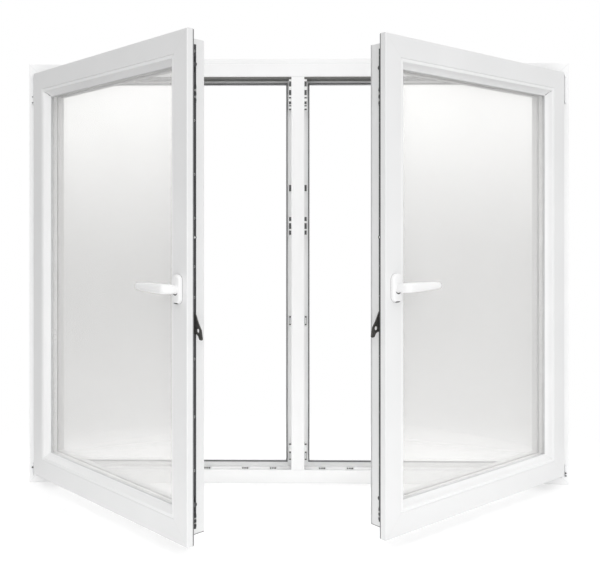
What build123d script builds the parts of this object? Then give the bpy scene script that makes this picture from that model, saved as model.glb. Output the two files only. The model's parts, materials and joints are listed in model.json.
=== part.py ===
"""Two-light tilt and turn window in white profile, both sashes swung open into the room.

X runs to the right along the sill, Y from the room to the outside, Z up. The origin is the middle of
the sill's underside, halfway through the frame's depth. All sizes are in millimetres.
Each sash is drawn shut, as the left-hand one, then mirrored if it is the right-hand one, and last
swung about its hinge line.
"""

import os

from build123d import *

# Outer frame
frame_width = 1800.0
frame_height = 1400.0
frame_depth = 70.0
frame_face = 44.0
outer_lip = 18.0
outer_lip_depth = 18.0
mullion_core = 43.0
frame_edge_radius = 2.0
rebate_step = 1.5
rebate_step_depth = 22.0
fixing_hole_radius = 4.0
fixing_inset = 150.0
fixing_depth = 24.0
extension_height = 17.0
extension_length = 1360.0
extension_setback = 1.0
lining_thickness = 6.0
lining_depth = 48.0
lining_setback = 2.0

# Sashes
left_opening = 45.6
right_opening = 40.5
sash_overlap = 8.0
sash_face = 60.0
sash_lip = 20.0
sash_lip_depth = 20.0
sash_body_depth = 51.0
sash_seal = 3.0
sash_edge_radius = 2.5
glazing_lip = 25.0
mitre_gap = 0.3

# Glazing
bead_depth = 22.0
bead_setback = 1.0
bead_flat = 8.0
bead_nose = 3.0
pane_thickness = 4.0
pane_gap = 16.0
pane_cover = 16.0
glazing_seal = 3.0
glazing_seal_width = 6.0
spacer_inset = 2.0
spacer_width = 10.0

# Seals
frame_seal_width = 4.5
frame_seal_play = 0.3
sash_seal_width = 5.0
sash_seal_inset = 1.5

# Hinges
hinge_out = 11.0
hinge_forward = 9.0
hinge_radius = 6.0
hinge_pin_radius = 3.0
hinge_pin_play = 0.05
hinge_end_play = 0.3
hinge_leaf = 3.0
hinge_leaf_width = 24.0
hinge_neck = 7.0
top_hinge_length = 100.0
top_hinge_drop = 40.0
top_hinge_split = 0.58
bottom_hinge_length = 42.0
bottom_hinge_rise = 26.0
bottom_hinge_split = 0.45

# Espagnolette in the sash's lock edge
groove_axis = 15.0
faceplate_width = 18.0
faceplate_thickness = 3.0
faceplate_margin = 14.0
channel_width = 12.0
channel_depth = 10.0
rod_width = 10.0
rod_thickness = 3.0
rod_play = 0.4
rod_travel = 18.0
rod_end_room = 6.0
cam_low_inset = 80.0
cam_high_inset = 67.0
cam_pin_radius = 3.5
cam_head_radius = 6.0
cam_head_height = 6.0
cam_lift = 1.5
cam_slot_play = 1.0
corner_slot_inset = 116.0
corner_slot_pitch = 18.0
corner_slot_count = 3
corner_slot_length = 9.0
corner_slot_width = 5.0

# Lift latch below the handle
latch_drop = 64.5
latch_height = 66.0
latch_plate = 3.0
latch_outline = (
    (0, 66),
    (10, 66),
    (22, 43),
    (34, 26),
    (36, 17),
    (39, 3),
    (35, 0),
    (27, 1),
    (22, 10),
    (15, 14),
    (0, 13),
)
latch_hole = (21.0, 24.0)
latch_hole_radius = 5.5

# Handles
handle_height = 658.5
handle_inset = 37.0
rose_width = 36.0
rose_height = 76.0
rose_thickness = 11.0
rose_radius = 16.0
rose_bevel = 2.5
journal_radius = 9.0
journal_play = 0.05
journal_depth = 8.0
lever_standoff = 46.0
lever_length = 127.5
lever_root = 25.0
lever_tip = 15.0
lever_thickness = 12.0
lever_bevel = 2.5

# Keeps on the mullion and the sill
keep_plate = 2.5
keep_width = 20.0
keep_lip = 4.0
keep_lip_height = 8.5
keep_clear = 3.0
corner_keep_gap = 8.0
corner_keep_length = 104.0
upper_keep_drop = 373.0
handle_keep_rise = 162.5
latch_keep_drop = 154.5
low_keep_rise = 60.0
keep_lengths = {"upper": 26.0, "handle": 64.0, "latch": 36.0, "low": 56.0}
sill_keeps = (302.0, 175.0, 82.0)
sill_keep_length = 26.0

# Places that follow from the sizes above
half_depth = frame_depth / 2
room_face = -half_depth
outer_face = half_depth
rebate_end = outer_face - outer_lip_depth
light_low = frame_face
light_high = frame_height - frame_face
half_core = mullion_core / 2
sash_room_face = room_face - sash_seal - sash_lip_depth
sash_back = sash_room_face + sash_lip_depth + sash_body_depth
sash_left = -frame_width / 2 + frame_face - sash_overlap
sash_right = -half_core + sash_overlap
sash_width = sash_right - sash_left
sash_low = frame_face - sash_overlap
sash_height = frame_height - 2 * sash_low
sash_high = sash_low + sash_height
sash_sight = sash_face + glazing_lip
lock_flank = sash_right - sash_lip
groove_y = sash_room_face + sash_lip_depth + groove_axis
hinge_x = sash_left - hinge_out
hinge_y = room_face - hinge_forward
glass_front = sash_room_face + bead_depth + glazing_seal
glass_back = glass_front + 2 * pane_thickness + pane_gap
handle_x = sash_right - handle_inset
handle_z = sash_low + handle_height
mullion_keeps = (
    (light_high - corner_keep_gap - corner_keep_length / 2, corner_keep_length),
    (light_high - upper_keep_drop, keep_lengths["upper"]),
    (handle_z + handle_keep_rise, keep_lengths["handle"]),
    (handle_z - latch_keep_drop, keep_lengths["latch"]),
    (light_low + low_keep_rise, keep_lengths["low"]),
)

os.makedirs("parts", exist_ok=True)


def facing_room(y):
    """The upright plane at depth y that looks into the room, with x to the right and y up."""
    return Plane(origin=(0, y, 0), x_dir=(1, 0, 0), z_dir=(0, -1, 0))


def facing_right(x):
    """The upright plane at x that looks to the right, with its x to the outside and its y up."""
    return Plane(origin=(x, 0, 0), x_dir=(0, 1, 0), z_dir=(1, 0, 0))


def frame_sides(left, low, width, height):
    """Section planes of a rectangle's four sides: x runs inwards, y from the room to the outside."""
    middle_x = left + width / 2
    middle_z = low + height / 2
    return {
        "bottom": (Plane((middle_x, 0, low), (0, 0, 1), (-1, 0, 0)), width),
        "top": (Plane((middle_x, 0, low + height), (0, 0, -1), (1, 0, 0)), width),
        "left": (Plane((left, 0, middle_z), (1, 0, 0), (0, 0, 1)), height),
        "right": (Plane((left + width, 0, middle_z), (-1, 0, 0), (0, 0, -1)), height),
    }


def mitred_bar(section, plane, length, reach, gap=0.0):
    """A bar with the given section, cut at 45 degrees at both ends."""
    seen_from_room = Plane(plane.origin, plane.x_dir, plane.y_dir)
    half = length / 2 - gap
    with BuildPart() as bar:
        with BuildSketch(plane):
            section()
        extrude(amount=length / 2, both=True)
        with BuildSketch(seen_from_room):
            with BuildLine():
                Polyline((0, -half), (0, half), (reach, half - reach), (reach, reach - half), close=True)
            make_face()
        extrude(amount=2 * frame_depth, both=True, mode=Mode.INTERSECT)
    return bar


def frame_section():
    """Outer frame: a deep core with a rebate on the room side and a thin lip on the outside."""
    step_y = rebate_end - rebate_step_depth
    with BuildLine() as outline:
        Polyline(
            (0, room_face),
            (frame_face, room_face),
            (frame_face, step_y),
            (frame_face - rebate_step, step_y),
            (frame_face - rebate_step, rebate_end),
            (frame_face + outer_lip, rebate_end),
            (frame_face + outer_lip, outer_face),
            (0, outer_face),
            close=True,
        )
    face = make_face(outline.edges())
    rounded = face.vertices().group_by(Axis.Y)[0] + face.vertices().group_by(Axis.Y)[-1]
    fillet(rounded, frame_edge_radius)


def sash_section():
    """Sash: an overlapping lip on the room side, a body in the rebate and a lip behind the glass."""
    lip_back = sash_room_face + sash_lip_depth
    seat = glass_back + glazing_seal
    with BuildLine() as outline:
        Polyline(
            (0, sash_room_face),
            (sash_face, sash_room_face),
            (sash_face, seat),
            (sash_sight, seat),
            (sash_sight, sash_back),
            (sash_lip, sash_back),
            (sash_lip, lip_back),
            (0, lip_back),
            close=True,
        )
    face = make_face(outline.edges())
    outer_corners = face.vertices().group_by(Axis.Y)[0] + face.vertices().group_by(Axis.Y)[-1]
    fillet(outer_corners, sash_edge_radius)


def bead_section():
    """Glazing bead: a flat strip beside the sash, then a hollowed slope down to the glass."""
    front = sash_room_face + bead_setback
    back = sash_room_face + bead_depth
    with BuildLine() as outline:
        Polyline(
            (sash_sight - bead_nose, back - bead_nose),
            (sash_sight, back - bead_nose),
            (sash_sight, back),
            (sash_face, back),
            (sash_face, front),
            (sash_face + bead_flat, front),
        )
        SagittaArc(
            (sash_face + bead_flat, front),
            (sash_sight - bead_nose, back - bead_nose),
            -bead_nose,
        )
    make_face(outline.edges())


def rectangle_ring(plane, center, size, width, thickness):
    """A flat rectangular ring, its outer size given, extruded to the outside from the plane."""
    with BuildPart() as ring:
        with BuildSketch(plane):
            with Locations(center):
                Rectangle(*size)
                Rectangle(size[0] - 2 * width, size[1] - 2 * width, mode=Mode.SUBTRACT)
        extrude(amount=-thickness)
    return ring


def save(piece, name):
    """Label a finished piece and write it as one STEP file."""
    piece.label = name
    export_step(piece, f"parts/{name}.step")


# Outer frame

frame_reach = frame_face + outer_lip
frame_sides_by_name = frame_sides(-frame_width / 2, 0, frame_width, frame_height)
frame_nodes = {
    "bottom": "frame_sill",
    "top": "frame_head",
    "left": "frame_left_jamb",
    "right": "frame_right_jamb",
}
fixing_heights = (fixing_inset, frame_height - fixing_inset)

for side, node in frame_nodes.items():
    section_plane, side_length = frame_sides_by_name[side]
    bar = mitred_bar(frame_section, section_plane, side_length, frame_reach)
    with BuildPart() as member:
        add(bar.part)
        if side in ("left", "right"):
            jamb_middle = -(frame_width - frame_face) / 2
            if side == "right":
                jamb_middle = -jamb_middle
            with BuildSketch(facing_right(jamb_middle)):
                with Locations(*[(room_face + fixing_depth, height) for height in fixing_heights]):
                    Circle(fixing_hole_radius)
            extrude(amount=frame_face, both=True, mode=Mode.SUBTRACT)
    save(member.part, node)

with BuildPart() as frame_mullion:
    with BuildSketch(facing_room(room_face)):
        with Locations((0, frame_height / 2)):
            Rectangle(mullion_core, light_high - light_low)
    extrude(amount=room_face - rebate_end)
    with BuildSketch(facing_room(rebate_end)):
        with Locations((0, frame_height / 2)):
            Rectangle(mullion_core + 2 * outer_lip, frame_height - 2 * frame_reach)
    extrude(amount=-outer_lip_depth)
save(frame_mullion.part, "frame_mullion")

with BuildPart() as head_lining:
    for direction in (-1, 1):
        lining_length = frame_width / 2 - frame_face - half_core
        lining_middle = direction * (half_core + lining_length / 2)
        with BuildSketch(Plane.XY.offset(light_high)):
            with Locations((lining_middle, room_face + lining_setback + lining_depth / 2)):
                Rectangle(lining_length, lining_depth)
    extrude(amount=-lining_thickness)
save(head_lining.part, "head_lining")

with BuildPart() as head_extension:
    with BuildSketch(Plane.XY.offset(frame_height)):
        Rectangle(extension_length, frame_depth - 2 * extension_setback)
    extrude(amount=extension_height)
    top_edges = head_extension.faces().sort_by(Axis.Z)[-1].edges().filter_by(Axis.X)
    fillet(top_edges, frame_edge_radius)
save(head_extension.part, "head_extension")


def keep(plane, along, length):
    """One keep: a screw plate with a lip that a cam runs behind."""
    plate_front = room_face + keep_clear
    with BuildSketch(plane) as shape:
        with Locations((plate_front + keep_width / 2, along)):
            Rectangle(keep_width, length)
    extrude(shape.sketch, amount=keep_plate)
    with BuildSketch(plane) as shape:
        with Locations((plate_front + keep_lip / 2, along)):
            Rectangle(keep_lip, length)
    extrude(shape.sketch, amount=keep_lip_height)


def sash_piece(piece, side):
    """A piece of the left-hand sash, carried to its own side and swung open about the hinge line."""
    if side == "right":
        hinge_line = Axis((-hinge_x, hinge_y, 0), (0, 0, 1))
        return piece.mirror(Plane.YZ).rotate(hinge_line, right_opening)
    hinge_line = Axis((hinge_x, hinge_y, 0), (0, 0, 1))
    return piece.rotate(hinge_line, -left_opening)


def to_side(piece, side):
    """A piece of the frame's left half, carried to its own side."""
    return piece.mirror(Plane.YZ) if side == "right" else piece


def barrel(low, high, bore=None):
    """A hinge barrel on the hinge line, bored if a pin passes through it."""
    with BuildSketch(Plane.XY.offset(low)) as shape:
        with Locations((hinge_x, hinge_y)):
            Circle(hinge_radius)
            if bore:
                Circle(bore, mode=Mode.SUBTRACT)
    extrude(shape.sketch, amount=high - low)


def frame_hinge(low, split_at, high):
    """The frame's half of a hinge: a leaf on the frame's face, a neck, a barrel and its pin."""
    with BuildSketch(facing_room(room_face)) as shape:
        with Locations((hinge_x, (low + split_at) / 2)):
            Rectangle(hinge_leaf_width, split_at - low)
    extrude(shape.sketch, amount=hinge_leaf)
    with BuildSketch(facing_room(room_face)) as shape:
        with Locations((hinge_x, (low + split_at) / 2)):
            Rectangle(hinge_neck, split_at - low)
    extrude(shape.sketch, amount=hinge_forward)
    barrel(low, split_at)
    with BuildSketch(Plane.XY.offset(split_at)) as shape:
        with Locations((hinge_x, hinge_y)):
            Circle(hinge_pin_radius)
    extrude(shape.sketch, amount=high - split_at)


def sash_hinge(low, high):
    """The sash's half of a hinge: a bored barrel, a neck and a leaf on the edge of the sash's lip."""
    middle = (low + high) / 2
    lip_middle = sash_room_face + sash_lip_depth / 2
    leaf_depth = sash_lip_depth - 2 * sash_edge_radius
    with BuildSketch(facing_right(sash_left)) as shape:
        with Locations((lip_middle, middle)):
            Rectangle(leaf_depth, high - low)
    extrude(shape.sketch, amount=-hinge_leaf)
    with BuildSketch(facing_right(sash_left)) as shape:
        with Locations((hinge_y, middle)):
            Rectangle(hinge_neck, high - low)
    extrude(shape.sketch, amount=-hinge_out)
    with BuildSketch(Plane.XY.offset(low)) as shape:
        with Locations((hinge_x, hinge_y)):
            Circle(hinge_radius)
    extrude(shape.sketch, amount=high - low)
    with BuildSketch(Plane.XY.offset(low)) as shape:
        with Locations((hinge_x, hinge_y)):
            Circle(hinge_pin_radius + hinge_pin_play)
    extrude(shape.sketch, amount=high - low, mode=Mode.SUBTRACT)


top_hinge_high = frame_height - top_hinge_drop
top_hinge_low = top_hinge_high - top_hinge_length
top_hinge_joint = top_hinge_low + top_hinge_split * top_hinge_length
bottom_hinge_high = bottom_hinge_rise + bottom_hinge_length
bottom_hinge_joint = bottom_hinge_rise + bottom_hinge_split * bottom_hinge_length
light_middle = (-(frame_width / 2 - frame_reach) - half_core - outer_lip) / 2
light_width = frame_width / 2 - frame_reach - half_core - outer_lip
light_height = frame_height - 2 * frame_reach

for side in ("left", "right"):
    seal_depth = rebate_end - sash_back - frame_seal_play
    frame_seal = rectangle_ring(
        facing_room(rebate_end - seal_depth),
        (light_middle, frame_height / 2),
        (light_width + 2 * frame_seal_width, light_height + 2 * frame_seal_width),
        frame_seal_width,
        seal_depth,
    )
    save(to_side(frame_seal.part, side), f"{side}_frame_gasket")

    with BuildPart() as keeps:
        for keep_z, keep_length in mullion_keeps:
            mullion_flank = Plane((-half_core, 0, 0), (0, 1, 0), (-1, 0, 0))
            keep(mullion_flank, -keep_z, keep_length)
        for keep_x in sill_keeps:
            rebate_floor = Plane((0, 0, light_low), (0, 1, 0), (0, 0, 1))
            keep(rebate_floor, keep_x, sill_keep_length)
    save(to_side(keeps.part, side), f"{side}_keeps")

    with BuildPart() as frame_hinges:
        frame_hinge(top_hinge_low, top_hinge_joint, top_hinge_high)
        frame_hinge(bottom_hinge_rise, bottom_hinge_joint, bottom_hinge_high)
    save(to_side(frame_hinges.part, side), f"{side}_frame_hinges")


# Sashes

sash_sides = frame_sides(sash_left, sash_low, sash_width, sash_height)
sash_nodes = {"bottom": "bottom_rail", "top": "top_rail", "left": "hinge_stile", "right": "lock_stile"}
sash_middle = (sash_left + sash_width / 2, sash_low + sash_height / 2)
cam_heights = (sash_low + sash_lip + cam_low_inset, sash_high - sash_lip - cam_high_inset)
plate_low = sash_low + sash_lip + faceplate_margin
plate_high = sash_high - sash_lip - faceplate_margin
rail_plate_low = sash_left + sash_lip + faceplate_margin
rail_plate_high = lock_flank - faceplate_margin
slot_width = 2 * (cam_pin_radius + cam_slot_play)
slot_length = slot_width + 2 * rod_travel


def groove(plane, middle, length):
    """The hardware groove: a shallow seat for the faceplate and a channel for the rod below it."""
    with BuildSketch(plane) as shape:
        with Locations((groove_y, middle)):
            Rectangle(faceplate_width, length)
    extrude(shape.sketch, amount=-faceplate_thickness, mode=Mode.SUBTRACT)
    with BuildSketch(plane) as shape:
        with Locations((groove_y, middle)):
            Rectangle(channel_width, length)
    extrude(shape.sketch, amount=-channel_depth, mode=Mode.SUBTRACT)


def sash_member(side):
    """One mitred member of the sash, grooved where hardware sits in it."""
    section_plane, side_length = sash_sides[side]
    bar = mitred_bar(sash_section, section_plane, side_length, sash_sight)
    flank_top = Plane((0, 0, sash_high - sash_lip), (0, 1, 0), (0, 0, 1))
    flank_bottom = Plane((0, 0, sash_low + sash_lip), (0, 1, 0), (0, 0, -1))
    plate_middle = (rail_plate_low + rail_plate_high) / 2
    with BuildPart() as member:
        add(bar.part)
        if side == "right":
            groove(facing_right(lock_flank), (plate_low + plate_high) / 2, plate_high - plate_low)
        if side == "top":
            groove(flank_top, -plate_middle, rail_plate_high - rail_plate_low)
        if side == "bottom":
            groove(flank_bottom, plate_middle, rail_plate_high - rail_plate_low)
    return member.part


def glazing_bead_set():
    """Four beads, mitred with a hairline between their ends."""
    with BuildPart() as beads:
        for side in sash_sides:
            section_plane, side_length = sash_sides[side]
            add(mitred_bar(bead_section, section_plane, side_length, sash_sight, mitre_gap).part)
    return beads.part


def sash_ring(y, outer_inset, width, thickness):
    """A ring that runs round the sash at a fixed distance from its outer edge."""
    size = (sash_width - 2 * outer_inset, sash_height - 2 * outer_inset)
    return rectangle_ring(facing_room(y), sash_middle, size, width, thickness).part


def pane(y):
    """One sheet of glass, its edge hidden behind the bead."""
    edge = sash_sight - pane_cover
    with BuildPart() as sheet:
        with BuildSketch(facing_room(y)):
            with Locations(sash_middle):
                Rectangle(sash_width - 2 * edge, sash_height - 2 * edge)
        extrude(amount=-pane_thickness)
    return sheet.part


def glazing_seals():
    """The seals on both sides of the glass."""
    inset = sash_sight - glazing_seal_width
    with BuildPart() as seals:
        add(sash_ring(glass_front - glazing_seal, inset, glazing_seal_width, glazing_seal))
        add(sash_ring(glass_back, inset, glazing_seal_width, glazing_seal))
    return seals.part


def faceplates():
    """Steel strips in the groove of the lock stile and of both rails, slotted for the cams."""
    lock_face = facing_right(lock_flank)
    length = plate_high - plate_low
    corner_slots = []
    for step in range(corner_slot_count):
        rise = corner_slot_inset + step * corner_slot_pitch
        corner_slots.append((groove_y, sash_low + sash_lip + rise))
        corner_slots.append((groove_y, sash_high - sash_lip - rise))
    rail_length = rail_plate_high - rail_plate_low
    rail_middle = (rail_plate_low + rail_plate_high) / 2
    with BuildPart() as strips:
        with BuildSketch(lock_face):
            with Locations((groove_y, (plate_low + plate_high) / 2)):
                Rectangle(faceplate_width, length)
            with Locations(*[(groove_y, height) for height in cam_heights]):
                SlotOverall(slot_length, slot_width, rotation=90, mode=Mode.SUBTRACT)
            with Locations(*corner_slots):
                Rectangle(corner_slot_width, corner_slot_length, mode=Mode.SUBTRACT)
        extrude(amount=-faceplate_thickness)
        with BuildSketch(Plane((0, 0, sash_high - sash_lip), (0, 1, 0), (0, 0, 1))):
            with Locations((groove_y, -rail_middle)):
                Rectangle(faceplate_width, rail_length)
        extrude(amount=-faceplate_thickness)
        with BuildSketch(Plane((0, 0, sash_low + sash_lip), (0, 1, 0), (0, 0, -1))):
            with Locations((groove_y, rail_middle)):
                Rectangle(faceplate_width, rail_length)
        extrude(amount=-faceplate_thickness)
    return strips.part


def drive_rod():
    """The rod behind the faceplate with its two cams, which pass through the slots."""
    rod_top = lock_flank - faceplate_thickness - rod_play
    rod_low = plate_low + rod_travel + rod_end_room
    rod_high = plate_high - rod_travel - rod_end_room
    with BuildPart() as rod:
        with BuildSketch(facing_right(rod_top)):
            with Locations((groove_y, (rod_low + rod_high) / 2)):
                Rectangle(rod_width, rod_high - rod_low)
        extrude(amount=-rod_thickness)
        with BuildSketch(facing_right(rod_top)):
            with Locations(*[(groove_y, height) for height in cam_heights]):
                Circle(cam_pin_radius)
        extrude(amount=rod_play + faceplate_thickness + cam_lift)
        with BuildSketch(facing_right(lock_flank + cam_lift)):
            with Locations(*[(groove_y, height) for height in cam_heights]):
                Circle(cam_head_radius)
        extrude(amount=cam_head_height)
    return rod.part


def latch_lever():
    """The sprung lever that stops the handle while the sash is open: a holed plate with a hooked toe."""
    low = handle_z - latch_drop - latch_height
    with BuildPart() as lever:
        with BuildSketch(facing_room(groove_y)):
            with BuildLine():
                Polyline(*[(lock_flank + reach, low + rise) for reach, rise in latch_outline], close=True)
            make_face()
            with Locations((lock_flank + latch_hole[0], low + latch_hole[1])):
                Circle(latch_hole_radius, mode=Mode.SUBTRACT)
        extrude(amount=latch_plate / 2, both=True)
    return lever.part


def sash_hinge_set():
    """The sash's halves of the top and bottom hinges."""
    with BuildPart() as hinges:
        sash_hinge(top_hinge_joint + hinge_end_play, top_hinge_high)
        sash_hinge(bottom_hinge_joint + hinge_end_play, bottom_hinge_high)
    return hinges.part


def handle_rose():
    """The handle's rounded rose on the lock stile, bored for the lever's journal."""
    with BuildPart() as rose:
        with BuildSketch(facing_room(sash_room_face)):
            with Locations((handle_x, handle_z)):
                RectangleRounded(rose_width, rose_height, rose_radius)
        extrude(amount=rose_thickness)
        front_edges = rose.faces().sort_by(Axis.Y)[0].edges()
        chamfer(front_edges, rose_bevel)
        with BuildSketch(facing_room(sash_room_face - rose_thickness)):
            with Locations((handle_x, handle_z)):
                Circle(journal_radius + journal_play)
        extrude(amount=-journal_depth, mode=Mode.SUBTRACT)
    return rose.part


def handle_lever():
    """The lever: a journal in the rose, a neck, and a tapering grip that points to the hinges."""
    journal_end = sash_room_face - rose_thickness + journal_depth - journal_play
    grip_back = sash_room_face - lever_standoff + lever_thickness / 2
    tip_x = handle_x - lever_length + lever_tip / 2
    with BuildPart() as lever:
        with BuildSketch(facing_room(grip_back)):
            with Locations((handle_x, handle_z)):
                Circle(lever_root / 2)
            with Locations((tip_x, handle_z)):
                Circle(lever_tip / 2)
            make_hull()
        extrude(amount=lever_thickness)
        rim = lever.faces().sort_by(Axis.Y)[0].edges() + lever.faces().sort_by(Axis.Y)[-1].edges()
        chamfer(rim, lever_bevel)
        with BuildSketch(facing_room(journal_end)):
            with Locations((handle_x, handle_z)):
                Circle(journal_radius)
        extrude(amount=journal_end - grip_back)
    return lever.part


for side in ("left", "right"):
    for sash_side, node in sash_nodes.items():
        save(sash_piece(sash_member(sash_side), side), f"{side}_{node}")
    seal_back = sash_room_face + sash_lip_depth
    spacer_outer = sash_sight - spacer_inset - spacer_width
    pieces = {
        "glazing_beads": glazing_bead_set(),
        "sash_gasket": sash_ring(seal_back, sash_seal_inset, sash_seal_width, sash_seal - frame_seal_play),
        "glazing_gaskets": glazing_seals(),
        "inner_pane": pane(glass_front),
        "outer_pane": pane(glass_back - pane_thickness),
        "glass_spacer": sash_ring(glass_front + pane_thickness, spacer_outer, spacer_width, pane_gap),
        "faceplates": faceplates(),
        "drive_rod": drive_rod(),
        "latch_lever": latch_lever(),
        "sash_hinges": sash_hinge_set(),
        "handle_rose": handle_rose(),
        "handle_lever": handle_lever(),
    }
    for node, piece in pieces.items():
        save(sash_piece(piece, side), f"{side}_{node}")
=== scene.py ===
"""The looks of the two-light tilt and turn window: camera, studio, materials and small details.

Lengths are in metres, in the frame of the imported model: X to the right, Y from the room to the
outside, Z up. The sizes of small details are written in millimetres and turned into metres where
their meshes are made. Each sash has its own axes, read from its handle's joint: u runs across the
sash from its hinges to its lock edge, z runs up, and out stands off its face into the room.
"""

import json
import math

import bmesh
import bpy
from mathutils import Matrix, Vector


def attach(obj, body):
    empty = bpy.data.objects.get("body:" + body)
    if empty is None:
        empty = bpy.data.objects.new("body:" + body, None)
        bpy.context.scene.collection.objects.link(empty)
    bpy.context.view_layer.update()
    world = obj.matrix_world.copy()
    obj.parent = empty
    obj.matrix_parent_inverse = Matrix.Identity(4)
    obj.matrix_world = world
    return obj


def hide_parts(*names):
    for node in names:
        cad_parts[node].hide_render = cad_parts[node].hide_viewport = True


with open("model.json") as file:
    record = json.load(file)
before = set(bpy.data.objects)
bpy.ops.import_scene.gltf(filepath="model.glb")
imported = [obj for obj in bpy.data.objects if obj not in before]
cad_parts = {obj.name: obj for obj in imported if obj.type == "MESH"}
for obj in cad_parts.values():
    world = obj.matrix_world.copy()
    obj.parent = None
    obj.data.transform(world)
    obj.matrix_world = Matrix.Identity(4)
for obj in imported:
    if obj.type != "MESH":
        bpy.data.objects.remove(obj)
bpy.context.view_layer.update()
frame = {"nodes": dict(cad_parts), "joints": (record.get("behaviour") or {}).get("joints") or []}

SIDES = ("left", "right")
MM = 0.001

# Camera

# The photograph's size, its horizon, the lens's axis and focal length in its pixels, where the
# camera stood, and how many degrees it was turned to the left
PHOTO_WIDTH = 600
PHOTO_HEIGHT = 580
HORIZON_Y = 226.54
AXIS_X = 285.86
FOCAL_PIXELS = 798.66
CAMERA_PLACE = (-0.0006, -2.6991, 0.8562)
CAMERA_TURN = 0.848
SENSOR_WIDTH = 36.0


def add_camera():
    """The photograph's view: level, almost straight at the window, framed by the lens's shifts."""
    data = bpy.data.cameras.new("camera")
    data.sensor_width = SENSOR_WIDTH
    data.lens = FOCAL_PIXELS / PHOTO_WIDTH * SENSOR_WIDTH
    data.shift_x = (PHOTO_WIDTH / 2 - AXIS_X) / PHOTO_WIDTH
    data.shift_y = (HORIZON_Y - PHOTO_HEIGHT / 2) / PHOTO_WIDTH
    camera = bpy.data.objects.new("camera", data)
    camera.location = CAMERA_PLACE
    camera.rotation_euler = (math.radians(90), 0, math.radians(CAMERA_TURN))
    bpy.context.scene.collection.objects.link(camera)
    bpy.context.scene.camera = camera


# Materials

# Where in the noise's range the darker and the lighter tone are reached
TONE_STOPS = (0.3, 0.7)
# Noise for tone, for gloss and for relief: scale per metre, and detail
PLASTIC_NOISE = ((6.0, 2.0), (22.0, 2.0), (900.0, 3.0))
METAL_NOISE = ((160.0, 4.0), (420.0, 3.0), (700.0, 2.0))
RUBBER_NOISE = ((60.0, 3.0), (200.0, 2.0), (1500.0, 2.0))
# Stretch of the noise: none, and drawn out along an upright strip
EVEN = (1.0, 1.0, 1.0)
PLATE_STREAKS = (1.0, 1.0, 0.08)
ROD_STREAKS = (1.0, 1.0, 0.1)
RELIEF_DEPTH = 0.0002
METAL_RELIEF = 0.15
RUBBER_RELIEF = 0.2
PLASTIC_SPECULAR = 0.45
RUBBER_ROUGHNESS = 0.6
RUBBER_ROUGHNESS_RANGE = (0.55, 0.75)
GLASS_COLOR = (0.91, 0.909, 0.905)
GLASS_TONES = ((0.905, 0.903, 0.899), (0.917, 0.915, 0.911))
GLASS_NOISE = 3.0
GLASS_CLEARNESS = 0.86
GLASS_IOR = 1.45
GLASS_SHADE = (0.957, 0.955, 0.951, 1.0)


def new_material(name, color, roughness, metallic=0.0):
    """A material with one Principled shader, returned with its node tree and that shader."""
    material = bpy.data.materials.new(name)
    material.use_nodes = True
    shader = material.node_tree.nodes["Principled BSDF"]
    shader.inputs["Base Color"].default_value = (*color, 1.0)
    shader.inputs["Roughness"].default_value = roughness
    shader.inputs["Metallic"].default_value = metallic
    return material, material.node_tree, shader


def object_noise(tree, scale, detail=2.0, stretch=EVEN):
    """Noise in the object's own metres, drawn out along an axis where stretch is under one."""
    coordinates = tree.nodes.new("ShaderNodeTexCoord")
    mapping = tree.nodes.new("ShaderNodeMapping")
    mapping.inputs["Scale"].default_value = stretch
    noise = tree.nodes.new("ShaderNodeTexNoise")
    noise.inputs["Scale"].default_value = scale
    noise.inputs["Detail"].default_value = detail
    tree.links.new(coordinates.outputs["Object"], mapping.inputs["Vector"])
    tree.links.new(mapping.outputs["Vector"], noise.inputs["Vector"])
    return noise.outputs["Fac"]


def vary_color(tree, shader, factor, dark, light):
    """Base colour that drifts between two close tones."""
    ramp = tree.nodes.new("ShaderNodeValToRGB")
    for stop, position, tone in zip(ramp.color_ramp.elements, TONE_STOPS, (dark, light)):
        stop.position = position
        stop.color = (*tone, 1.0)
    tree.links.new(factor, ramp.inputs["Fac"])
    tree.links.new(ramp.outputs["Color"], shader.inputs["Base Color"])


def vary_roughness(tree, shader, factor, low, high):
    """Roughness that drifts between two values."""
    spread = tree.nodes.new("ShaderNodeMapRange")
    spread.inputs["To Min"].default_value = low
    spread.inputs["To Max"].default_value = high
    tree.links.new(factor, spread.inputs["Value"])
    tree.links.new(spread.outputs["Result"], shader.inputs["Roughness"])


def add_bump(tree, shader, factor, strength):
    """Fine relief from the given factor."""
    bump = tree.nodes.new("ShaderNodeBump")
    bump.inputs["Strength"].default_value = strength
    bump.inputs["Distance"].default_value = RELIEF_DEPTH
    tree.links.new(factor, bump.inputs["Height"])
    tree.links.new(bump.outputs["Normal"], shader.inputs["Normal"])


def mix_shaders(tree, factor, first, second):
    """The first shader where the factor is nought, the second where it is one."""
    mix = tree.nodes.new("ShaderNodeMixShader")
    tree.links.new(factor, mix.inputs["Fac"])
    tree.links.new(first, mix.inputs[1])
    tree.links.new(second, mix.inputs[2])
    return mix.outputs["Shader"]


def plastic(name, dark, light, low_roughness, high_roughness, grain=0.0):
    """Extruded window plastic: a very even tone, a soft gloss and a faint grain."""
    tone, gloss, relief = PLASTIC_NOISE
    material, tree, shader = new_material(name, light, low_roughness)
    vary_color(tree, shader, object_noise(tree, *tone), dark, light)
    vary_roughness(tree, shader, object_noise(tree, *gloss), low_roughness, high_roughness)
    shader.inputs["Specular IOR Level"].default_value = PLASTIC_SPECULAR
    if grain:
        add_bump(tree, shader, object_noise(tree, *relief), grain)
    return material


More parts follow.
